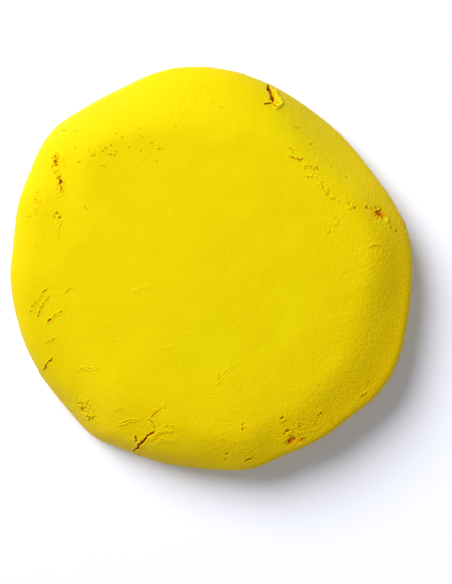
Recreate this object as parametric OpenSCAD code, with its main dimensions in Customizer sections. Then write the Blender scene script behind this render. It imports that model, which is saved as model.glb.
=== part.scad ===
// Detailing clay: one kneaded lump, pressed by hand into a thick round patty.
// +Z is up, +Y is the top edge of the patty and +X its right edge. The origin is
// the middle of the flat face that the lump rests on. All sizes are in millimetres.

/* [Lump] */
// Width of the lump, from its left edge to its right edge
lump_w = 85; // [60:1:110]
// Thickness of the lump at its middle, before the hand marks
lump_t = 15; // [10:0.5:20]

/* [Rim] */
// How far the rim falls below the top, as a share of the fall drawn in RIM
rim_fall = 1; // [0.6:0.05:1.1]
// How far the edge of the resting face lies in from the widest line
foot_inset = 3.5; // [2:0.5:7]
// How far the middle of the top stands above its edges
crown = 1.9; // [0:0.1:2.5]

/* [Hand marks] */
// How steep the flats pressed into the right and the upper right are, as a share of the drawn steepness
flat_share = 1; // [0:0.1:1.3]
// Depth of the deepest thumb dip at the edge of the top
dip_depth = 2.2; // [0:0.1:2.5]

/* [Hidden] */

drawn_w = 85;       // width that the plan below is drawn for
drawn_t = 15;       // thickness that the heights below are drawn for
scale_xy = lump_w / drawn_w;
scale_z = lump_t / drawn_t;
below_z = 0.6;      // the rim runs this far under the resting face and is cut off there

// The outline at the widest line, anticlockwise from the right
OUTLINE = [
    [42.4, 0], [41.4, 8], [38.3, 14.4], [34.7, 19.6], [27.9, 28.4], [20.2, 34.7], [13.5, 38.5],
    [6, 41.3], [-2, 42.5], [-10, 42.1], [-18.3, 39], [-26.2, 35], [-33, 30.5], [-36.4, 25.9],
    [-38.3, 20.9], [-40.9, 13], [-42, 4], [-42.5, -3], [-40.5, -13.5], [-36.8, -22.2],
    [-31.7, -29.4], [-25.8, -36], [-19.4, -38.7], [-10.2, -41.6], [0, -42.8], [8, -42.6],
    [15, -39.6], [23, -36], [29.9, -30.8], [34.9, -26.8], [38.8, -20.9], [41.2, -12],
];
PER_POINT = 3;      // steps of the smooth outline between two of its points

// The rim in 16 even directions, anticlockwise from the right:
// [width of the slope, fall of the slope, width of the round edge, fall of the round edge]
RIM = [
    [10, 4, 1.5, 1], [10, 5, 6, 2], [12, 6, 6, 2], [12, 3, 5.5, 5.5],           // from the right
    [17, 3, 4, 2.5], [13, 6, 6, 3], [11, 4, 6, 6], [19, 1, 6, 4],               // from the top
    [12, 1, 5, 3.5], [16, 3, 3.5, 3.5], [15, 5, 4.5, 5.5], [11.5, 3.5, 4, 6],   // from the left
    [9, 3, 4.5, 2.5], [9.5, 2, 5, 1], [11, 2.5, 1.5, 0.5], [12.5, 3.5, 1.5, 0.5], // from the bottom
];

LOWER_STEPS = 5;    // rings from the resting face up to the widest line
EDGE_STEPS = 6;     // rings over the round edge
SLOPE_STEPS = 6;    // rings over the rest of the slope
TOP_RINGS = [0.86, 0.7, 0.52, 0.34, 0.17]; // rings on the top, as shares of what is left

// Thumb dips: [x, y, radius, depth as a share of dip_depth]
DIPS = [
    [32, 31.5, 9, 1.0],   // in the middle of the upper right edge
    [21.5, 36.5, 8, 0.8], // right of the cleft
    [-36, 22, 4, 0.2],    // the nick in the left of the outline
    [-27, -35, 6, 0.5],   // on the lower left edge
];

// Flats pressed into the rim: [direction, how far from the middle it starts, fall per mm]
FLATS = [[-9, 31, 0.15], [50, 35, 0.6]];
FLAT_BLEND = 0.6;   // how softly a flat meets the rest

// A smooth closed curve through a list: its value t of the way from item i to the next
function item(list, i) = list[(i + len(list)) % len(list)];
function on_curve(list, i, t) =
    let (a = item(list, i - 1), b = item(list, i), c = item(list, i + 1), d = item(list, i + 2))
    0.5 * (2 * b + (c - a) * t + (2 * a - 5 * b + 4 * c - d) * t * t
           + (3 * b - a - 3 * c + d) * t * t * t);
function total(list) = list * [for (v = list) 1];

// The outline, smoothed and moved so that its own middle is at 0, 0, in drawn millimetres
drawn = [for (i = [0:len(OUTLINE) - 1], k = [0:PER_POINT - 1]) on_curve(OUTLINE, i, k / PER_POINT)];
middle = [for (axis = [0, 1]) (max([for (p = drawn) p[axis]]) + min([for (p = drawn) p[axis]])) / 2];
rim = [for (p = drawn) p - middle];

// The rim's widths and falls in the direction of the point p
function rim_at(p) =
    let (turn = (atan2(p.y, p.x) + 360) % 360 * len(RIM) / 360, i = floor(turn))
    on_curve(RIM, i, turn - i);

// How far the crown falls, from none in the middle to all of it at the rim, where t is 1
function crown_share(t) = 1.6 * t * t - 0.6 * pow(t, 4);
// How far the slope falls, from none at its inner end, where t is 1, to all of it at the rim,
// where t is 0. It sets off level and is steepest a little over half way out.
function slope_share(t) = let (s = max(0, 1 - t)) s * s * (2.4 - 1.4 * s);
// How far the round edge falls: a quarter of an ellipse
function edge_share(t) = let (s = max(0, 1 - t)) 1 - sqrt(1 - s * s);

// The lower of two heights, and of a height and all the flats, with a soft corner
function lower(a, b) = -FLAT_BLEND * ln(exp(-(a - b) / FLAT_BLEND) + 1) + b;
function flattened(q, z, i = 0) = i == len(FLATS) ? z :
    let (flat = FLATS[i], out = q * [cos(flat[0]), sin(flat[0])] - flat[1])
    flattened(q, lower(z, drawn_t - flat_share * flat[2] * out), i + 1);
function dips_at(q) = dip_depth * total([for (d = DIPS) d[3] * exp(-pow(norm(q - [d.x, d.y]) / d[2], 2))]);

// A point of the skin above the widest line, inset from the point p of the rim
function above(p, inset) =
    let (share = inset / norm(p), q = p * (1 - share), r = rim_at(p),
         slope = r[1] * slope_share(inset / r[0]), edge = r[3] * edge_share(inset / r[2]),
         z = drawn_t - crown * crown_share(1 - share) - rim_fall * (slope + edge))
    [q.x * scale_xy, q.y * scale_xy, (flattened(q, z) - dips_at(q)) * scale_z];

// The rings of the lump, from under the resting face to the middle of the top
function lower_ring(a) = [for (p = rim)
    let (belt = above(p, 0), inset = foot_inset * (1 - cos(a)))
    [belt.x * (1 - inset / norm(p)), belt.y * (1 - inset / norm(p)),
     -below_z + (belt.z + below_z) * (1 + sin(a))]];
function edge_ring(a) = [for (p = rim) above(p, rim_at(p)[2] * (1 - cos(a)))];
function slope_ring(share) = [for (p = rim)
    let (r = rim_at(p)) above(p, r[2] + (r[0] - r[2]) * share)];
function top_ring(share) = [for (p = rim)
    let (width = rim_at(p)[0]) above(p, width + (norm(p) - width) * (1 - share))];

RINGS = concat(
    [for (k = [0:LOWER_STEPS - 1]) lower_ring(-90 + 90 * k / LOWER_STEPS)],
    [for (k = [0:EDGE_STEPS]) edge_ring(90 * k / EDGE_STEPS)],
    [for (k = [1:SLOPE_STEPS]) slope_ring(k / SLOPE_STEPS)],
    [for (s = TOP_RINGS) top_ring(s)]);

// A closed skin: triangles between neighbouring rings, and a fan at each end
module skin(rings, bottom, top) {
    n = len(rings[0]);
    last = (len(rings) - 1) * n;
    bottom_point = len(rings) * n;
    top_point = bottom_point + 1;
    between = [for (r = [0:len(rings) - 2], i = [0:n - 1])
        let (a = r * n + i, b = r * n + (i + 1) % n)
        each [[a, a + n, b + n], [a, b + n, b]]];
    under = [for (i = [0:n - 1]) [bottom_point, i, (i + 1) % n]];
    over = [for (i = [0:n - 1]) [top_point, last + (i + 1) % n, last + i]];
    polyhedron(points = concat([for (r = rings) each r], [bottom, top]),
               faces = concat(between, under, over), convexity = 4);
}

module clay_bar() {
    color([0.93, 0.84, 0.02])
        difference() {
            skin(RINGS, [0, 0, -below_z], above(rim[0], norm(rim[0])));
            // the table it was pressed on: everything under z = 0 goes
            translate([-lump_w, -lump_w, -lump_t]) cube([2 * lump_w, 2 * lump_w, lump_t]);
        }
}

clay_bar();
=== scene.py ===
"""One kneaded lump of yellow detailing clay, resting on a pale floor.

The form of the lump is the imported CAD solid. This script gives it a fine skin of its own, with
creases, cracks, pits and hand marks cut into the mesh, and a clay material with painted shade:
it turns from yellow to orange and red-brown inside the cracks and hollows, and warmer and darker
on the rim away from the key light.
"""

import math

import bmesh
import bpy
import numpy as np
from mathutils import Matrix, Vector


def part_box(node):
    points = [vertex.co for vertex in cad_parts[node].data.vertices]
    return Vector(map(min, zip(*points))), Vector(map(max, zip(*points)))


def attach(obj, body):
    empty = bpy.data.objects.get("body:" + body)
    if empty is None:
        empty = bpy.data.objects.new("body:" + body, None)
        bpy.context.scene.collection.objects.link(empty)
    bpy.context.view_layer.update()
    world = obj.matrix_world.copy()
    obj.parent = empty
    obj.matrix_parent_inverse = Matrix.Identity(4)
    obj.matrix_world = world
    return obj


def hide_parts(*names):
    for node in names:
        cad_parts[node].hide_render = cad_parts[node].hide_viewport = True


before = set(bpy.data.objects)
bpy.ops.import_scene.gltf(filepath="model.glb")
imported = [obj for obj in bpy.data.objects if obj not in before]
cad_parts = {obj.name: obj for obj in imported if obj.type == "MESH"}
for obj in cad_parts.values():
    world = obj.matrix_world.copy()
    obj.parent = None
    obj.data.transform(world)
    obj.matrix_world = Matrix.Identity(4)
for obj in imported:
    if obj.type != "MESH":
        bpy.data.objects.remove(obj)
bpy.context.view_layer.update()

CAD_NODE = "clay_bar"
LOW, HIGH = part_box(CAD_NODE)
SIZE = HIGH - LOW
MIDDLE = (LOW + HIGH) / 2

DRAWN_WIDTH = 85.0              # the marks below are drawn on a lump this wide, in mm
MM = SIZE.x / DRAWN_WIDTH       # one drawn millimetre, in metres

# --- Hand marks --------------------------------------------------------------------------
# Places are x, y in drawn millimetres from the lump's middle, seen from above, +y to its top.
TOP_SCALE = 0.98                # the top is drawn as the camera sees it, a little nearer

# Cracks and creases: course, width, depth, how dark the painted shade inside it is (0 to 1), how
# broken up it is (0 to 1), and the height of the lip it pushes up
CREASES = [
    # beside the torn band down the left shoulder
    ([(-33.5, 24.3), (-33.3, 22.6), (-32.9, 21.3)], 0.5, 0.45, 0.6, 0.4, 0.06),
    ([(-32.5, 19.6), (-32.2, 18.3), (-32.4, 17.4)], 0.6, 0.6, 0.9, 0.1, 0.08),
    ([(-26.8, 13), (-26, 12.3)], 0.3, 0.2, 0.5, 0.3, 0.03),
    # the fan of creases on the lower left shoulder
    ([(-27.8, -1.9), (-26.5, -0.8)], 0.25, 0.15, 0.35, 0.4, 0.04),
    ([(-31.5, -5.6), (-30, -4.5), (-28.9, -3.7)], 0.35, 0.25, 0.45, 0.4, 0.08),
    ([(-34.7, -4), (-36.4, -6.2), (-37.8, -7.7), (-38.9, -10)], 0.32, 0.22, 0.45, 0.45, 0.07),
    ([(-34.4, -5.8), (-35.4, -7.2), (-36.3, -8.4), (-36.8, -10.4)], 0.34, 0.25, 0.5, 0.4, 0.07),
    ([(-31.5, -9.3), (-32.8, -9.6), (-33.8, -10.6), (-35.2, -11.9)], 0.4, 0.32, 0.55, 0.35, 0.09),
    ([(-32.7, -14.6), (-34, -15.4), (-35.4, -16.4)], 0.38, 0.28, 0.5, 0.15, 0.07),
    ([(-33.8, -18.8), (-35.2, -20.5), (-36.6, -22.4)], 0.32, 0.35, 0.8, 0.0, 0.06),
    # soft creases on the lower left of the top
    ([(-28.9, -22), (-27.4, -21.3), (-25.5, -21.5), (-23.6, -21.3)], 0.4, 0.12, 0.2, 0.45, 0.07),
    ([(-21.1, -30.4), (-18.7, -29.8)], 0.4, 0.12, 0.15, 0.3, 0.07),
    ([(-20.2, -33.6), (-17.5, -32.6), (-14.9, -32)], 0.5, 0.16, 0.2, 0.3, 0.10),
    # the main crack at the bottom edge, its fork and the small cracks beside it
    ([(-16.9, -39.7), (-14.7, -37.1), (-13.4, -35.9), (-11.7, -34.4)], 0.75, 0.45, 0.86, 0.0, 0.06),
    ([(-12.3, -34.4), (-12.2, -33.6), (-12.9, -32.2)], 0.3, 0.25, 0.65, 0.3, 0.05),
    ([(-13, -31.9), (-11.9, -30.8), (-10.7, -29.9)], 0.3, 0.2, 0.45, 0.6, 0.06),
    ([(-16.2, -35.9), (-16, -37.2)], 0.4, 0.4, 0.85, 0.1, 0.05),
    ([(-10.9, -34), (-9.2, -33.5), (-7.7, -33.9)], 0.35, 0.25, 0.4, 0.3, 0.10),
    ([(-12.8, -36.6), (-11.2, -36.1), (-9.6, -36.9)], 0.4, 0.2, 0.2, 0.3, 0.08),
    # on the flat of the top
    ([(1.3, -25.2), (1.9, -24), (1.7, -22.5), (1.2, -21.5)], 0.32, 0.18, 0.45, 0.45, 0.06),
    ([(2.1, -22.6), (3.9, -21.3), (5.6, -20.3)], 0.28, 0.14, 0.3, 0.3, 0.06),
    ([(-16.8, -5), (-14.6, -4.2), (-12.6, -4)], 0.5, 0.06, 0.05, 0.3, 0.06),
    ([(-4.8, -14.6), (-3.8, -13.6)], 0.3, 0.1, 0.2, 0.2, 0.04),
    ([(-11.9, -17.4), (-9.5, -17), (-7.2, -16.4)], 0.3, 0.08, 0.1, 0.3, 0.04),
    ([(-4.6, -5.9), (-1.6, -6.3)], 0.3, 0.06, 0.05, 0.3, 0.04),
    ([(4.8, -12.6), (6, -11.6)], 0.3, 0.08, 0.1, 0.3, 0.04),
    # two soft smears on the upper left bevel, and a faint hollow along its foot
    ([(-3.6, 40), (-4.7, 37), (-7, 32.5)], 1.3, 0.04, 0.0, 0.0, 0.02),
    ([(-1.2, 39.4), (-2.6, 36.5), (-4, 33.4)], 1.0, 0.03, 0.0, 0.0, 0.02),
    ([(-23, 31.8), (-12, 33.3), (-2, 31.4)], 2.4, 0.05, 0.0, 0.0, 0.0),
    # the cleft in the upper right of the rim, and a nick to the left of it
    ([(12.2, 39.5), (12.7, 38), (13.1, 36.9), (13.1, 35.2)], 1.25, 0.9, 0.95, 0.0, 0.0),
    ([(13.2, 35.3), (12.4, 35.1), (11.3, 35)], 0.6, 0.6, 0.9, 0.0, 0.05),
    ([(13.2, 35.2), (13.9, 34.6)], 0.35, 0.4, 0.8, 0.0, 0.03),
    ([(1.5, 34.7), (3.2, 33.6)], 0.35, 0.2, 0.5, 0.6, 0.05),
    # the wrinkles below the upper right bevel and on down the right
    ([(16.3, 23.8), (17.8, 23.3), (19.4, 23)], 0.32, 0.25, 0.7, 0.35, 0.06),
    ([(16.7, 25.4), (17.3, 24.9)], 0.28, 0.2, 0.6, 0.2, 0.05),
    ([(19.4, 21.6), (21.3, 21.7), (23.1, 21.1)], 0.32, 0.22, 0.6, 0.5, 0.06),
    ([(19.7, 19.5), (22.1, 19.5)], 0.3, 0.2, 0.5, 0.5, 0.05),
    ([(23.3, 17.2), (24.7, 16.4)], 0.3, 0.2, 0.4, 0.4, 0.05),
    ([(24.2, 6.8), (25.2, 8)], 0.3, 0.2, 0.4, 0.3, 0.05),
    ([(33.6, 4.2), (35.3, 5), (36.9, 3.7)], 0.32, 0.2, 0.4, 0.35, 0.08),
    # torn places along the lower right and the bottom
    ([(22.9, -31.4), (23.4, -30.6)], 0.35, 0.25, 0.6, 0.2, 0.05),
    ([(21.4, -33.8), (22.4, -32.4)], 0.3, 0.2, 0.4, 0.4, 0.05),
    ([(32.2, -27.5), (33.7, -26)], 0.55, 0.3, 0.8, 0.3, 0.06),
    ([(7.1, -41.5), (9.2, -40.3)], 0.6, 0.35, 0.85, 0.1, 0.05),
]

# Bands of torn, crumbly skin: course, width, depth, how dark the painted shade in their hollows is
CRUMBLY = [
    # down the left shoulder
    ([(-33.6, 25.2), (-33.2, 22), (-32.4, 18.5), (-32.4, 15)], 1.7, 0.30, 0.7),
    ([(-33.0, 12.1), (-32.4, 9.5), (-32.8, 6.6)], 1.3, 0.28, 0.7),
    ([(-37.8, 17.2), (-36.9, 14), (-36.9, 11.5)], 1.5, 0.14, 0.3),
    ([(-39.2, 11.9), (-38.8, 10.4)], 1.0, 0.20, 0.5),
    ([(-40.9, 6), (-40.8, 4.6)], 0.9, 0.18, 0.45),
    # between the dashes on the upper left
    ([(-25.6, 24.2), (-22.6, 24.9), (-19.6, 24.2)], 1.6, 0.14, 0.45),
    ([(-12.8, 26.6), (-10.6, 25.3)], 1.2, 0.14, 0.45),
    # at the right edge
    ([(28.5, 13.4), (31.4, 13)], 1.3, 0.28, 0.75),
    ([(33.1, 13.1), (33.9, 12.7)], 1.3, 0.4, 0.85),
    ([(34.4, 12.9), (35.8, 11.8), (37, 10.8)], 2.5, 0.38, 0.9),
    ([(38.3, 9.1), (38.8, 8.6)], 0.8, 0.4, 0.85),
    ([(39.4, 8.2), (39.9, 7.7)], 0.6, 0.3, 0.8),
    # in the wrinkles on the upper right
    ([(16, 24), (19.6, 23)], 1.3, 0.2, 0.65),
    ([(19.2, 21.7), (23.3, 21.1)], 1.0, 0.2, 0.65),
    ([(22.5, 18.4), (25, 16.2), (26.6, 14.4)], 1.4, 0.2, 0.55),
    ([(26.2, 14.6), (27.4, 13.2)], 1.2, 0.2, 0.55),
    ([(20.2, 19.7), (22.7, 19.3)], 0.9, 0.2, 0.6),
    ([(27.4, 12.4), (26.7, 10), (25.4, 7.6)], 1.5, 0.12, 0.3),
    # at the bottom, on the left and then on the right
    ([(-13.3, -33), (-12, -30.6), (-9.6, -29.3)], 1.2, 0.15, 0.4),
    ([(-28.3, -28.2), (-26.8, -30.6), (-25.2, -33)], 2.4, 0.30, 0.32),
    ([(-21.2, -23.4), (-20.9, -24.7)], 1.0, 0.15, 0.3),
    ([(1.2, -25.4), (1.8, -21.6)], 1.2, 0.10, 0.3),
    ([(6.2, -33.7), (7.4, -33.7)], 1.3, 0.35, 0.6),
    ([(14.2, -31.6), (15.4, -32.3), (16.1, -32.9)], 1.7, 0.38, 0.75),
    ([(15.9, -33.6), (16.4, -35.4), (17, -36.9)], 2.2, 0.30, 0.8),
    ([(18.2, -35.8), (19.2, -34.9)], 1.3, 0.30, 0.7),
    ([(18.9, -36.8), (19.9, -36.4)], 0.9, 0.35, 0.85),
    ([(17.6, -33.6), (20.2, -34)], 1.4, 0.2, 0.6),
    ([(21.4, -35.1), (22.9, -34.2)], 1.2, 0.2, 0.6),
    ([(25.4, -33.1), (26.4, -32.2)], 0.9, 0.15, 0.4),
]

# Pits: x, y, length, width, angle in degrees, depth, how dark the painted shade inside is
PITS = [
    (-32.2, 18.6, 0.7, 0.6, 10, 0.5, 1.0), (3.1, -39.7, 0.8, 0.7, 20, 0.5, 1.0),
    (3, -41, 0.5, 0.4, 90, 0.3, 0.6), (16.9, -36.9, 2.8, 1.7, 30, 0.2, 0.85),
    (19.4, -36.6, 1.6, 1.0, 15, 0.2, 0.85), (35.8, 11.8, 3.2, 1.9, 140, 0.22, 0.8),
    (33.4, 12.9, 0.7, 0.5, 160, 0.5, 0.9), (38.6, 8.8, 0.9, 0.6, 130, 0.4, 0.95),
    (39.8, 7.9, 0.8, 0.5, 130, 0.3, 0.9),
]

# Short dashes pressed into the shoulder: x, y, length, angle in degrees
# DASH_SHADE is how dark the painted shade inside a dash is
DASH_WIDTH, DASH_DEPTH, DASH_SHADE = 0.32, 0.15, 0.52
DASH_ENDS = 1.25                # a dash is cut this much longer, because its ends thin out
DASHES = [
    (-31.8, 29.7, 1.0, 10), (-28.8, 29.3, 1.0, 175), (-28.9, 25.6, 0.6, 60), (-25.8, 24.9, 0.6, 90),
    (-23.6, 25.6, 0.6, 30), (-21.3, 25.9, 0.6, 100), (-24.6, 23.8, 1.2, 15), (-21, 24, 1.6, 175),
    (-27.9, 22.3, 1.3, 170), (-22.8, 21.6, 1.4, 5), (-18.7, 27.8, 0.5, 20), (-14.5, 27.7, 0.6, 150),
    (-12.5, 26.3, 0.8, 165), (-10.8, 25.2, 1.5, 170), (-14.8, 24.8, 0.5, 90), (-11.5, 22.5, 0.8, 160),
    (-7.4, 30, 0.7, 170), (-15.3, 29.8, 0.5, 10), (-20.1, 28.6, 0.4, 40), (-17.2, 25.6, 0.4, 0),
    (2.2, 34.2, 0.8, 150), (0.6, 35.2, 0.5, 20), (18.4, 29.9, 0.8, 170), (21.6, 26.5, 0.6, 0),
    (22.3, 24.3, 0.5, 20), (25.8, 21.7, 0.6, 120), (29, 19.5, 0.8, 160), (27.7, 20.3, 0.4, 150),
    (13.7, 24.8, 0.4, 10), (30.6, 25.4, 0.4, 160), (22.9, -24.8, 0.4, 0), (33.6, -24.1, 0.6, 60),
]

# Raised lips: course, width, height
LIPS = [
    ([(13.5, 38.2), (14.6, 36.8), (15.1, 35.6), (14.5, 34.8), (13.7, 34.4)], 0.8, 0.35),
    ([(-13.4, -36.8), (-12.2, -35.6), (-10.6, -34.7), (-8.2, -34.6)], 0.9, 0.14),
    ([(-12.4, -37.3), (-9.8, -36.4), (-7.4, -36.9)], 1.5, 0.10),
    ([(-31.9, 24), (-31.6, 21.4)], 0.6, 0.12), ([(-31.4, 18.6), (-31.6, 16)], 0.6, 0.12),
    ([(37.3, 10.9), (37.9, 10.1)], 0.7, 0.4),
]

# Clusters of crumbs: x, y, spread, how many, size of a crumb
CRUMBS = [
    (-27.3, -29.6, 1.2, 8, 0.34), (-25.9, -31.9, 1.1, 7, 0.36), (15.2, -32.3, 0.8, 5, 0.28),
    (36.3, 11.5, 1.0, 7, 0.32), (6.8, -33.9, 0.5, 4, 0.28),
]

# Zones of pebbled skin: x, y, half length, half width, angle, spacing, depth
PEBBLES = [
    (33, 3, 8, 5, 60, 0.5, 0.05), (32, -12, 9, 5, 75, 0.5, 0.04),
    (26.6, 11, 6.5, 2.6, 80, 0.55, 0.035), (27.5, 15.5, 3.5, 2.2, 130, 0.5, 0.035),
    (21, 21, 5, 3, 165, 0.55, 0.03), (19, 30, 8, 5, 130, 0.5, 0.02),
    (33, 19, 6, 4, 130, 0.5, 0.022), (-20, 25, 9, 3.4, 170, 0.6, 0.018),
    (-37, 12, 8, 2.4, 80, 0.55, 0.03), (-35, -9, 7, 4, 50, 0.55, 0.03),
    (-27, -31, 5, 3, 130, 0.55, 0.04), (-14, -33, 6, 4, 35, 0.55, 0.03),
    (0, -38, 12, 4, 0, 0.5, 0.025), (17.5, -35, 5, 2.6, 35, 0.5, 0.035),
    (25, -29, 8, 4, 40, 0.5, 0.022),
]

# Creases in the edge, as above, but each place is the distance round the edge from +x, turning
# towards +y, and the height from the lump's middle
EDGE_CREASES = [
    ([(53.6, 3), (53.2, 1), (53.9, -1), (53.4, -3.4)], 0.9, 1.2, 1.0, 0.1, 0.1),
    ([(-83.3, 0), (-82.6, -2), (-83.5, -4.2)], 0.8, 1.0, 1.0, 0.1, 0.1),
    ([(-110.3, -1), (-109.8, -2.6), (-110.6, -4.6)], 0.6, 0.7, 0.8, 0.2, 0.1),
    ([(9, 1), (9.6, -0.8), (8.8, -2.2)], 0.8, 0.8, 0.9, 0.3, 0.1),
    ([(-58.6, -1.5), (-57.9, -3), (-58.3, -4)], 0.6, 0.6, 0.7, 0.2, 0.1),
]
# Creases at random: seed, how many, the box they start in (half width, lowest, highest), how
# far they slant, depth and how dark the painted shade inside them is
EDGE_SCATTER = (11, 46, (133, -5.5, 1.5), 0.35, 0.45, 0.7)
UNDER_SCATTER = (12, 40, (36, -36, 36), 1.5, 0.35, 0.5)
STEPS = (2, 5)                  # fewest legs of such a crease, and one more than the most
STEP_LENGTHS = (0.8, 2.2)
STEP_TURN = 0.4                 # how far it turns from leg to leg, in radians
SCATTER_SIZES = (0.5, 1.0)      # smallest and largest, as shares of the width and depth
SCATTER_SHADE = (0.2, 1)         # least and most painted shade, as shares of the rule's own
SCATTER_WIDTH, SCATTER_BROKEN = 0.7, 0.4
SCATTER_LIP = 0.1               # height of the lip, as a share of the depth

# --- Noise -------------------------------------------------------------------------------


class Noise:
    """Smooth random values in space, about -1 to 1 and the same on every run."""

    SHIFT = 37.7                # keeps the lump's middle off a corner of the noise's cells
    GAIN = 1.6                  # brings the values out to about -1 and 1

    def __init__(self, seed):
        rng = np.random.default_rng(seed)
        self.order = rng.permutation(256)
        slopes = rng.normal(size=(256, 3))
        self.slopes = slopes / np.linalg.norm(slopes, axis=1)[:, None]

    def __call__(self, points, size):
        """One value for each point, with bumps about size across."""
        scaled = np.asarray(points, float) / size + self.SHIFT
        cell = np.floor(scaled).astype(np.int64)
        part = scaled - cell
        ease = part ** 3 * (part * (part * 6 - 15) + 10)
        total = np.zeros(len(scaled))
        for corner in np.ndindex(2, 2, 2):
            at = cell + corner
            pick = self.order[at[:, 0] & 255]
            pick = self.order[(pick + at[:, 1]) & 255]
            pick = self.order[(pick + at[:, 2]) & 255]
            slope = np.einsum("ij,ij->i", self.slopes[pick], part - corner)
            share = np.where(corner, ease, 1 - ease).prod(axis=1)
            total += share * slope
        return total * self.GAIN


broad = Noise(1)
ragged = Noise(2)
sideways = Noise(3)
lengthways = Noise(4)
pebbles = Noise(5)
grain = Noise(6)
fraying = Noise(7)


def flat_noise(noise, plan, size, layer=0.0):
    """Noise over places on a plane."""
    return noise(np.column_stack([plan, np.full(len(plan), layer)]), size)


def eased(value, low=0.0, high=1.0):
    """0 up to low, 1 from high on, and a smooth rise between them."""
    share = np.clip((value - low) / (high - low), 0, 1)
    return share * share * (3 - 2 * share)


# --- Mesh helpers ------------------------------------------------------------------------


def mesh_points(mesh):
    flat = np.empty(len(mesh.vertices) * 3)
    mesh.vertices.foreach_get("co", flat)
    return flat.reshape(-1, 3)


def mesh_normals(mesh):
    flat = np.empty(len(mesh.vertices) * 3)
    mesh.vertex_normals.foreach_get("vector", flat)
    return flat.reshape(-1, 3)


def mesh_edges(mesh):
    flat = np.empty(len(mesh.edges) * 2, np.int64)
    mesh.edges.foreach_get("vertices", flat)
    return flat.reshape(-1, 2)


def set_points(mesh, points):
    mesh.vertices.foreach_set("co", np.asarray(points, np.float32).ravel())
    mesh.update()


def averaged(values, edges, passes, strength=0.5):
    """Moves the values at every point part of the way to the mean of its neighbours."""
    near, far = edges.T
    count = np.bincount(edges.ravel(), minlength=len(values))[:, None]
    for _ in range(passes):
        total = np.column_stack([
            np.bincount(near, column[far], len(values))
            + np.bincount(far, column[near], len(values))
            for column in values.T])
        values = values + strength * (total / count - values)
    return values


# --- Skin --------------------------------------------------------------------------------
# Lengths are in drawn millimetres.
VOXEL = 0.5                     # mesh spacing before refining
SMOOTHING = 14                  # passes that take the solid's facets away
GROW = (1.3, 0.5)               # how far round a mark the mesh is refined, once and twice
AFTER_REFINING = (2, 0.4)       # passes and strength that even out a refined mesh
EDGE_RADIUS = 42.5              # turns a direction into a distance along the edge
TOP_FACING = -0.05              # the top's marks are cut where the skin faces up more than this
WALL_FACING = (-0.9, 0.25)      # the edge's marks are cut where the skin faces up between these

WANDER = ((0.30, 1.3), (0.13, 0.5)) # how far courses stray, and over what distance
FRAY_SIZE = 0.42                # spacing of the ragged bits along a mark's sides

# A crease thins out over TAPER at each end, and is TAPER_START into that where its course ends
TAPER, TAPER_START = 1.3, 0.35
GAP_SIZE = 0.6                  # spacing of the gaps that break a crease up
GAP_SHARE, GAP_CHANGE = 0.5, 1.1 # how much of a broken crease is gap, and how much that varies
GAP_ROWS = 7.0                  # spreads the creases over the noise, so that each has its own gaps
CREASE_FRAY = 0.7               # how ragged its sides are
SHADE_SIDE = (0.05, 0.7)         # the part of its sides over which the painted shade sets in
LIP_REACH, LIP_FALL = 2.6, 1.6  # where its lip ends and over how much it falls, in half widths

PIT_REACH, PIT_FRAY = 1.1, 0.55 # where a pit ends, in half widths, and how ragged it is

# Torn grains: the sizes of the large and the small ones, and how high the small ones stand
LARGE_GRAIN, SMALL_GRAIN, SMALL_SHARE = 0.6, 0.32, 0.6
BAND_END = 0.6                  # how far a crumbly band runs on past its course, in half widths
BAND_TOP = 1.5                  # how full its middle is: over 1, it stays full some way out
HOLLOWS, HUMPS = (0.1, 0.75), (0, 0.7) # the noise between which grains sink and stand out
GRAIN_RISE = 0.35               # height of the grains over the skin, as a share of the depth

CRUMB_SIZES = (0.6, 1.2)        # smallest and largest crumb, as shares of the size given
# CRUMB_SHADE is how dark the painted shade in a crumb's groove is
CRUMB_HEIGHT, CRUMB_GROOVE, CRUMB_SHADE = 0.5, 0.2, 0.25 # the first two in crumb radii
GROOVE_MIDDLE, GROOVE_WIDTH = 1.1, 0.25 # of the groove round a crumb, in crumb radii
CLUSTER_SHAPE = 0.8             # height of a cluster of crumbs over its width

PEBBLE_STRETCH = 1.8            # how drawn out the pebbles are
PEBBLE_FINE = 0.5               # size and height of the fine ones over the others'
PEBBLE_SHADE = 0.25              # how dark the painted shade between them is
PEBBLE_HOLLOWS = (0.6, 1.1)     # the noise between which that sets in
ZONE_EDGE = 1.6                 # where a pebbled zone has faded out, in its half lengths

# Unevenness of the kneaded skin: heights and distances between the swells
SWELLS = ((0.10, 13), (0.05, 5), (0.016, 1.8))
SKIN_GRAIN = (0.010, 1.1)       # height and spacing of its finest modelled grain

CREVICE_SHADE_ATTRIBUTE = "crevice_shade"                   # the mesh's record of the painted shade in its cracks and hollows, which the clay reads


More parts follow.
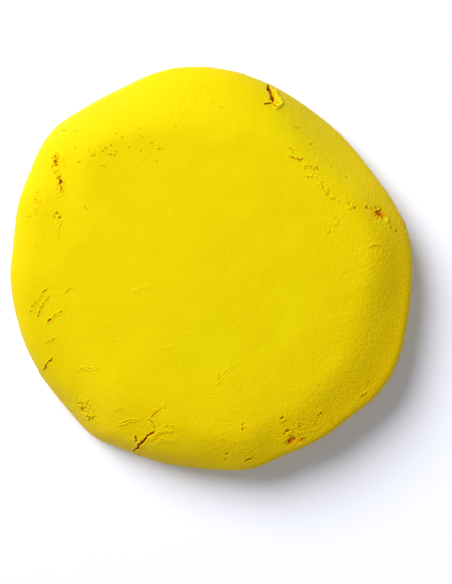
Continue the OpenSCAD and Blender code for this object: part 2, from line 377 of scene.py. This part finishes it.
class Skin:
    """The marks at every point of a mesh: how deep it is cut, how far lifted and how dark its painted
    shade is.
    """

    def __init__(self, mesh, grow=0.0):
        self.points = (mesh_points(mesh) - np.array(MIDDLE)) / MM
        self.normals = mesh_normals(mesh)
        self.grow = grow
        count = len(self.points)
        self.cut = np.zeros(count)
        self.lift = np.zeros(count)
        self.crevice_shade = np.zeros(count)
        self.level = np.zeros(count, int)       # how many times the mesh is refined here

    def turn_to(self, side):
        """Chooses where the next marks are drawn: on the top, round the edge or underneath."""
        x, y, z = self.points.T
        facing = self.normals[:, 2]
        if side == "top":
            plan = self.points[:, :2] / TOP_SCALE
            self.open = facing > TOP_FACING
        elif side == "edge":
            plan = np.column_stack([np.arctan2(y, x) * EDGE_RADIUS, z])
            self.open = (facing > WALL_FACING[0]) & (facing < WALL_FACING[1])
        else:
            plan = self.points[:, :2]
            self.open = facing < WALL_FACING[0]
        self.plan = plan
        for amount, size in WANDER:
            self.plan = self.plan + amount * self.wander(plan, size)
        self.fray = flat_noise(fraying, self.plan, FRAY_SIZE)

    @staticmethod
    def wander(plan, size):
        """Smooth random steps sideways, with bumps about size across."""
        return np.column_stack([flat_noise(ragged, plan, size), flat_noise(sideways, plan, size)])

    def near(self, spot, reach):
        """The open points within reach of a box round the spots."""
        spot = np.atleast_2d(spot)
        low, high = spot.min(0) - reach, spot.max(0) + reach
        inside = np.all((self.plan > low) & (self.plan < high), axis=1)
        return np.nonzero(inside & self.open)[0]

    def along(self, course, reach):
        """The points near a course, how far each is from it, and how far along it is."""
        course = np.array(course, float)
        ids = self.near(course, reach)
        here = self.plan[ids]
        away = np.full(len(ids), np.inf)
        travel = np.zeros(len(ids))
        passed = 0.0
        for start, end in zip(course[:-1], course[1:]):
            run = end - start
            length = np.linalg.norm(run)
            share = np.clip((here - start) @ run / length ** 2, 0, 1)
            gap = np.linalg.norm(here - start - share[:, None] * run, axis=1)
            closer = gap < away
            away[closer] = gap[closer]
            travel[closer] = passed + share[closer] * length
            passed += length
        return ids, away, travel, passed

    def turned(self, ids, x, y, angle):
        """Places along and across a direction through a spot."""
        turn = math.radians(angle)
        offset = self.plan[ids] - (x, y)
        return (offset @ (math.cos(turn), math.sin(turn)),
                offset @ (-math.sin(turn), math.cos(turn)))

    def deepen(self, ids, depth, crevice_shade):
        """Cuts down to a depth and paints shade to a darkness, where the skin isn't cut deeper or
        shaded darker already.
        """
        self.cut[ids] = np.maximum(self.cut[ids], depth)
        self.crevice_shade[ids] = np.maximum(self.crevice_shade[ids], crevice_shade)

    def crease(self, course, width, depth, crevice_shade=0.0, broken=0.0, lip=0.0):
        """A ragged groove, broken up along its course, that thins out at its ends, with painted shade
        inside.
        """
        half = width / 2
        ids, away, travel, length = self.along(course, 3 * width + self.grow)
        row = GAP_ROWS * course[0][0]
        run = np.column_stack([travel, np.full(len(ids), row), np.zeros(len(ids))])
        from_end = np.minimum(travel, length - travel)
        ends = eased(from_end + TAPER_START, 0, min(TAPER, length / 2))
        gaps = broken * (GAP_SHARE + GAP_CHANGE * lengthways(run, GAP_SIZE))
        open_share = ends - away / (half + self.grow) + CREASE_FRAY * self.fray[ids] - gaps
        self.deepen(ids, depth * eased(open_share), crevice_shade * eased(open_share, *SHADE_SIDE))
        self.lift[ids] += lip * ends * eased(LIP_REACH - away / half, 0, LIP_FALL)
        self.level[ids[open_share > 0]] = 2

    def crumbly(self, course, width, depth, crevice_shade):
        """A band of skin torn into fine grains, with painted shade in dark specks where it is lowest.
        """
        half = width / 2
        ids, away, travel, length = self.along(course, width)
        ends = np.minimum(travel, length - travel) / half + BAND_END
        inside = eased(np.minimum(BAND_TOP, ends) - away / half)
        cells = (flat_noise(pebbles, self.plan[ids], LARGE_GRAIN)
                 + SMALL_SHARE * flat_noise(grain, self.plan[ids], SMALL_GRAIN))
        low = inside * eased(-cells, *HOLLOWS)
        self.deepen(ids, depth * low, crevice_shade * low)
        self.lift[ids] += GRAIN_RISE * depth * inside * eased(cells, *HUMPS)
        self.level[ids[inside > 0.02]] = 2

    def pit(self, x, y, long, wide, angle, depth, crevice_shade):
        """A ragged bowl, with painted shade inside."""
        ids = self.near((x, y), 1.3 * max(long, wide) + self.grow)
        forward, across = self.turned(ids, x, y, angle)
        out = np.hypot(forward / (long / 2 + self.grow), across / (wide / 2 + self.grow))
        bowl = eased(PIT_REACH - out + PIT_FRAY * self.fray[ids])
        self.deepen(ids, depth * bowl, crevice_shade * bowl)
        self.level[ids[bowl > 0]] = 2

    def raised(self, course, width, height):
        """A rounded lip."""
        ids, away, travel, length = self.along(course, 2 * width + self.grow)
        ends = eased(np.minimum(travel, length - travel) + width / 2, 0, width)
        self.lift[ids] += height * ends * np.exp(-(2 * away / width) ** 2)
        self.level[ids[away < width + self.grow]] = 2

    def crumbs(self, x, y, spread, count, size):
        """Small round crumbs, pressed together, each in a shallow groove with patches of painted
        shade.
        """
        rng = np.random.default_rng(int(abs(100 * x + y)))
        for _ in range(count):
            turn = rng.uniform(0, 2 * math.pi)
            out = spread * math.sqrt(rng.uniform())
            spot = (x + out * math.cos(turn), y + CLUSTER_SHAPE * out * math.sin(turn))
            radius = size * rng.uniform(*CRUMB_SIZES)
            ids = self.near(spot, radius * 1.5 + self.grow)
            away = np.linalg.norm(self.plan[ids] - spot, axis=1) / (radius + self.grow)
            ball = np.sqrt(np.clip(1 - away ** 2, 0, 1))
            groove = np.exp(-((away - GROOVE_MIDDLE) / GROOVE_WIDTH) ** 2)
            self.lift[ids] = np.maximum(self.lift[ids], CRUMB_HEIGHT * radius * ball)
            self.deepen(ids, CRUMB_GROOVE * radius * groove,
                        CRUMB_SHADE * groove * (self.fray[ids] > 0))
            self.level[ids[away < 1.4]] = 2

    def pebbled(self, x, y, long, wide, angle, spacing, depth):
        """A zone of fine pebbled skin, drawn out one way, with painted shade in the hollows between
        the pebbles.
        """
        ids = self.near((x, y), ZONE_EDGE * max(long, wide))
        forward, across = self.turned(ids, x, y, angle)
        inside = eased(ZONE_EDGE - np.hypot(forward / long, across / wide))
        drawn_out = np.column_stack([forward / PEBBLE_STRETCH, across])
        cells = (flat_noise(pebbles, drawn_out, spacing, x)
                 + PEBBLE_FINE * flat_noise(grain, drawn_out, spacing * PEBBLE_FINE, y))
        self.lift[ids] += depth * inside * cells
        between = inside * eased(-cells, *PEBBLE_HOLLOWS)
        self.crevice_shade[ids] = np.maximum(self.crevice_shade[ids], PEBBLE_SHADE * between)
        self.level[ids] = np.maximum(self.level[ids], (inside > 0.05).astype(int))

    def mark(self):
        """Makes all the marks: on the top, then round the edge, then underneath."""
        self.turn_to("top")
        for zone in PEBBLES:
            self.pebbled(*zone)
        for cluster in CRUMBS:
            self.crumbs(*cluster)
        for band in CRUMBLY:
            self.crumbly(*band)
        for course, width, height in LIPS:
            self.raised(course, width, height)
        for mark in CREASES:
            self.crease(*mark)
        for x, y, length, angle in DASHES:
            self.pit(x, y, DASH_ENDS * length, DASH_WIDTH, angle, DASH_DEPTH, DASH_SHADE)
        for hole in PITS:
            self.pit(*hole)
        self.turn_to("edge")
        for mark in EDGE_CREASES + scattered(EDGE_SCATTER):
            self.crease(*mark)
        self.turn_to("under")
        for mark in scattered(UNDER_SCATTER):
            self.crease(*mark)
        return self


def scattered(rule):
    """Short creases at random over a box, at random slants about level."""
    seed, count, (reach_x, low_y, high_y), slant, depth, crevice_shade = rule
    rng = np.random.default_rng(seed)
    marks = []
    for _ in range(count):
        here = np.array([rng.uniform(-reach_x, reach_x), rng.uniform(low_y, high_y)])
        course = [tuple(here)]
        heading = rng.normal(0, slant)
        for _ in range(rng.integers(*STEPS)):
            heading += rng.normal(0, STEP_TURN)
            step = rng.uniform(*STEP_LENGTHS)
            here = here + step * np.array([math.cos(heading), math.sin(heading)])
            course.append(tuple(here))
        size = rng.uniform(*SCATTER_SIZES)
        shade_here = crevice_shade * rng.uniform(*SCATTER_SHADE)
        marks.append((course, SCATTER_WIDTH * size, depth * size, shade_here, SCATTER_BROKEN,
                      SCATTER_LIP * depth))
    return marks


def even_mesh():
    """An even quad mesh over the CAD solid, with the solid's facets smoothed away."""
    lump = bpy.data.objects.new("even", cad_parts[CAD_NODE].data.copy())
    bpy.context.scene.collection.objects.link(lump)
    remesh = lump.modifiers.new("even", "REMESH")
    remesh.mode = "VOXEL"
    remesh.voxel_size = VOXEL * MM
    bpy.context.view_layer.update()
    shape = lump.evaluated_get(bpy.context.evaluated_depsgraph_get())
    mesh = bpy.data.meshes.new_from_object(shape)
    bpy.data.objects.remove(lump)
    points, edges = mesh_points(mesh), mesh_edges(mesh)
    soft = averaged(points, edges, SMOOTHING)
    # smoothing draws the rim in a little, and this puts most of that back
    soft += averaged(points - soft, edges, SMOOTHING)
    low, high = soft.min(0), soft.max(0)
    set_points(mesh, np.array(LOW) + (soft - low) / (high - low) * np.array(SIZE))
    return mesh


def refine(mesh, wanted):
    """Splits every face that has a wanted point into four, and fits its neighbours to it."""
    work = bmesh.new()
    work.from_mesh(mesh)
    work.verts.ensure_lookup_table()
    edges = {edge for face in work.faces if any(wanted[v.index] for v in face.verts)
             for edge in face.edges}
    bmesh.ops.subdivide_edges(work, edges=list(edges), cuts=1, use_grid_fill=True)
    work.to_mesh(mesh)
    work.free()
    mesh.update()


def unevenness(place):
    """How far the kneaded skin stands proud of the smooth one, apart from its marks."""
    swells = sum(height * broad(place, size) for height, size in SWELLS)
    height, size = SKIN_GRAIN
    return swells + height * grain(place, size)


def clay_skin():
    """The lump's mesh: refined round the marks, which are then cut into it, with their painted shade
    stored on it.
    """
    mesh = even_mesh()
    for level, grow in enumerate(GROW, start=1):
        skin = Skin(mesh, grow).mark()
        refine(mesh, skin.level >= level)
        set_points(mesh, averaged(mesh_points(mesh), mesh_edges(mesh), *AFTER_REFINING))
    skin = Skin(mesh).mark()
    rise = unevenness(skin.points) + skin.lift - skin.cut
    points = mesh_points(mesh) + skin.normals * rise[:, None] * MM
    points[:, 2] = np.maximum(points[:, 2], LOW.z)
    set_points(mesh, points)
    crevice_shade = mesh.attributes.new(CREVICE_SHADE_ATTRIBUTE, "FLOAT", "POINT")
    crevice_shade.data.foreach_set("value", skin.crevice_shade.astype(np.float32))
    return mesh


# --- Clay --------------------------------------------------------------------------------
YELLOW = (0.762, 0.605, 0.002, 1)
# painted shade, from open skin to the bottom of a crack: orange, then red-brown
CREVICE_SHADE_COLORS = [(0.0, YELLOW), (0.25, (0.70, 0.46, 0.002, 1)), (0.55, (0.60, 0.22, 0.002, 1)),
               (0.8, (0.42, 0.07, 0.001, 1)), (1.0, (0.20, 0.015, 0.001, 1))]
SHINE, SHINE_TINT = 0.15, (1, 0.9, 0.02, 1) # weak and yellow, as on waxy clay

# Sizes of the noises, in drawn millimetres, and their detail
PATCHES, GREASE, GRAIN = (9, 4), (4, 3), (0.45, 5)
PALE_PATCH = (1, 1, 1, 1)
DEEP_PATCH = (0.985, 0.965, 0.8, 1)
PATCH_STOPS = (0.35, 0.65)      # values of the noise where the skin is deepest and palest
ROUGHNESS = (0.48, 0.72)        # where the skin is greasiest and driest
GRAIN_DEPTH = 0.24              # in drawn millimetres

# Painted shade: the rim is a little warmer and darker than the top, and it is also coarser,
# least of all on the upper left shoulder
TOP_MIDDLE = (-8, 8, 7)         # in drawn millimetres, off towards the upper left, where the key light comes from
RIM_START, RIM_END = 32, 54     # distances from there, in drawn millimetres
# painted shade on the rim: warmer and darker away from the key light
RIM_SHADE_COLOR = (1, 0.86, 0.8, 1)
TOP_GRAIN, RIM_GRAIN = 0.3, 0.9 # shares of the grain's depth


def color_ramp(nodes, stops):
    """Colours by value, from a list of value and colour."""
    ramp = nodes.new("ShaderNodeValToRGB")
    ends = ramp.color_ramp.elements
    ends[0].position, ends[0].color = stops[0]
    ends[1].position, ends[1].color = stops[-1]
    for position, color in stops[1:-1]:
        ends.new(position).color = color
    return ramp


def noise_node(nodes, links, size, detail):
    """Noise with bumps about size drawn millimetres across."""
    where = nodes.new("ShaderNodeTexCoord")
    noise = nodes.new("ShaderNodeTexNoise")
    noise.inputs["Scale"].default_value = 1 / (size * MM)
    noise.inputs["Detail"].default_value = detail
    links.new(where.outputs["Object"], noise.inputs["Vector"])
    return noise


def multiplied(nodes, links, first, second):
    """One colour times another."""
    mix = nodes.new("ShaderNodeMix")
    mix.data_type = "RGBA"
    mix.blend_type = "MULTIPLY"
    mix.inputs["Factor"].default_value = 1
    links.new(first, mix.inputs["A"])
    links.new(second, mix.inputs["B"])
    return mix.outputs["Result"]


def mapped(nodes, links, value, ends, results):
    """A value, moved from between two ends to between two results."""
    node = nodes.new("ShaderNodeMapRange")
    names = ("From Min", "From Max", "To Min", "To Max")
    for name, number in zip(names, (*ends, *results)):
        node.inputs[name].default_value = number
    links.new(value, node.inputs["Value"])
    return node.outputs["Result"]


def rim_share(nodes, links):
    """How far out on the rim a place is, from 0 to 1."""
    where = nodes.new("ShaderNodeTexCoord")
    away = nodes.new("ShaderNodeVectorMath")
    away.operation = "DISTANCE"
    away.inputs[1].default_value = [place * MM for place in TOP_MIDDLE]
    links.new(where.outputs["Object"], away.inputs[0])
    return mapped(nodes, links, away.outputs["Value"], (RIM_START * MM, RIM_END * MM), (0, 1))


def clay_color(nodes, links, rim):
    """Painted shade: orange and brown in the cracks and hollows, and warmer and darker on the rim
    away from the key light. Mottled a little.
    """
    crevice_shade = nodes.new("ShaderNodeAttribute")
    crevice_shade.attribute_name = CREVICE_SHADE_ATTRIBUTE
    crevice_shade_color = color_ramp(nodes, CREVICE_SHADE_COLORS)
    links.new(crevice_shade.outputs["Fac"], crevice_shade_color.inputs["Fac"])
    patches = noise_node(nodes, links, *PATCHES)
    patch_color = color_ramp(nodes, list(zip(PATCH_STOPS, (DEEP_PATCH, PALE_PATCH))))
    links.new(patches.outputs["Fac"], patch_color.inputs["Fac"])
    rim_shade_color = color_ramp(nodes, [(0, PALE_PATCH), (1, RIM_SHADE_COLOR)])
    links.new(rim, rim_shade_color.inputs["Fac"])
    mottle_and_rim_shade = multiplied(nodes, links, patch_color.outputs["Color"], rim_shade_color.outputs["Color"])
    return multiplied(nodes, links, crevice_shade_color.outputs["Color"], mottle_and_rim_shade)


def clay_normal(nodes, links, rim):
    """The finest grain, over the modelled skin."""
    fine = noise_node(nodes, links, *GRAIN)
    bump = nodes.new("ShaderNodeBump")
    strength = mapped(nodes, links, rim, (0, 1), (TOP_GRAIN, RIM_GRAIN))
    links.new(strength, bump.inputs["Strength"])
    bump.inputs["Distance"].default_value = GRAIN_DEPTH * MM
    links.new(fine.outputs["Fac"], bump.inputs["Height"])
    return bump.outputs["Normal"]


def make_clay():
    material = bpy.data.materials.new("clay")
    material.use_nodes = True
    nodes, links = material.node_tree.nodes, material.node_tree.links
    shader = nodes["Principled BSDF"]
    shader.inputs["Specular IOR Level"].default_value = SHINE
    shader.inputs["Specular Tint"].default_value = SHINE_TINT
    rim = rim_share(nodes, links)
    links.new(clay_color(nodes, links, rim), shader.inputs["Base Color"])
    grease = noise_node(nodes, links, *GREASE)
    roughness = mapped(nodes, links, grease.outputs["Fac"], (0, 1), ROUGHNESS)
    links.new(roughness, shader.inputs["Roughness"])
    links.new(clay_normal(nodes, links, rim), shader.inputs["Normal"])
    return material


def make_lump():
    mesh = clay_skin()
    mesh.materials.clear()
    mesh.materials.append(make_clay())
    mesh.polygons.foreach_set("use_smooth", [True] * len(mesh.polygons))
    lump = bpy.data.objects.new("kneaded_clay", mesh)
    bpy.context.scene.collection.objects.link(lump)
    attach(lump, "root")
    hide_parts(CAD_NODE)
    return lump


# --- Floor, light and camera -------------------------------------------------------------
# Lengths are in lump widths, and angles in degrees.
FLOOR_HALF = 20
FLOOR_COLOR = (0.9, 0.91, 0.985, 1)
FLOOR_ROUGHNESS, FLOOR_SHINE = 0.9, 0.1
LIGHT_DISTANCE = 50
# Softboxes: direction, height over the horizon, size and strength
KEY = (135, 41, 38, 4.5)
FILL = (315, 45, 68, 0.5)
SKY_STRENGTH = 0.22
SKY_COLOR = (0.94, 0.98, 1.1, 1)
BACKDROP = 1.1                  # brightness of what the camera sees beyond the floor
LENS, SENSOR = 100, 36          # in millimetres
VIEW_HEIGHT = 16 / 11           # how much the view shows from top to bottom
AIM = (0.036, -0.0585)          # from the lump's middle to the view's


def make_floor():
    half = FLOOR_HALF * SIZE.x
    corners = [(x * half, y * half, LOW.z) for x, y in ((-1, -1), (1, -1), (1, 1), (-1, 1))]
    mesh = bpy.data.meshes.new("floor")
    mesh.from_pydata(corners, [], [(0, 1, 2, 3)])
    floor = bpy.data.objects.new("floor", mesh)
    bpy.context.scene.collection.objects.link(floor)
    material = bpy.data.materials.new("floor")
    material.use_nodes = True
    shader = material.node_tree.nodes["Principled BSDF"]
    shader.inputs["Base Color"].default_value = FLOOR_COLOR
    shader.inputs["Roughness"].default_value = FLOOR_ROUGHNESS
    shader.inputs["Specular IOR Level"].default_value = FLOOR_SHINE
    mesh.materials.append(material)


def make_softbox(name, azimuth, elevation, size, strength):
    """A round light that faces the lump from far off."""
    data = bpy.data.lights.new(name, "AREA")
    data.shape = "DISK"
    data.size = size * SIZE.x
    distance = LIGHT_DISTANCE * SIZE.x
    data.energy = strength * math.pi * distance ** 2
    box = bpy.data.objects.new(name, data)
    bpy.context.scene.collection.objects.link(box)
    turn = math.radians(azimuth)
    height = math.radians(elevation)
    towards = Vector((math.cos(turn) * math.cos(height), math.sin(turn) * math.cos(height),
                      math.sin(height)))
    box.location = MIDDLE + distance * towards
    box.rotation_euler = (-towards).to_track_quat("-Z", "Y").to_euler()


def make_sky():
    """A faint even light, with a bright backdrop where the camera looks past the floor."""
    world = bpy.data.worlds.new("sky")
    bpy.context.scene.world = world
    world.use_nodes = True
    nodes, links = world.node_tree.nodes, world.node_tree.links
    rays = nodes.new("ShaderNodeLightPath")
    strength = nodes.new("ShaderNodeMapRange")
    strength.inputs["To Min"].default_value = SKY_STRENGTH
    strength.inputs["To Max"].default_value = BACKDROP
    links.new(rays.outputs["Is Camera Ray"], strength.inputs["Value"])
    nodes["Background"].inputs["Color"].default_value = SKY_COLOR
    links.new(strength.outputs["Result"], nodes["Background"].inputs["Strength"])


def make_camera():
    """Straight above the lump, with +y at the top of the view."""
    data = bpy.data.cameras.new("camera")
    data.lens = LENS
    data.sensor_width = SENSOR
    camera = bpy.data.objects.new("camera", data)
    bpy.context.scene.collection.objects.link(camera)
    distance = LENS / SENSOR * VIEW_HEIGHT * SIZE.x
    camera.location = MIDDLE + Vector((AIM[0] * SIZE.x, AIM[1] * SIZE.x, distance))
    bpy.context.scene.camera = camera


make_camera()
make_lump()
make_floor()
make_softbox("key", *KEY)
make_softbox("fill", *FILL)
make_sky()
bpy.context.scene.view_settings.view_transform = "Standard"
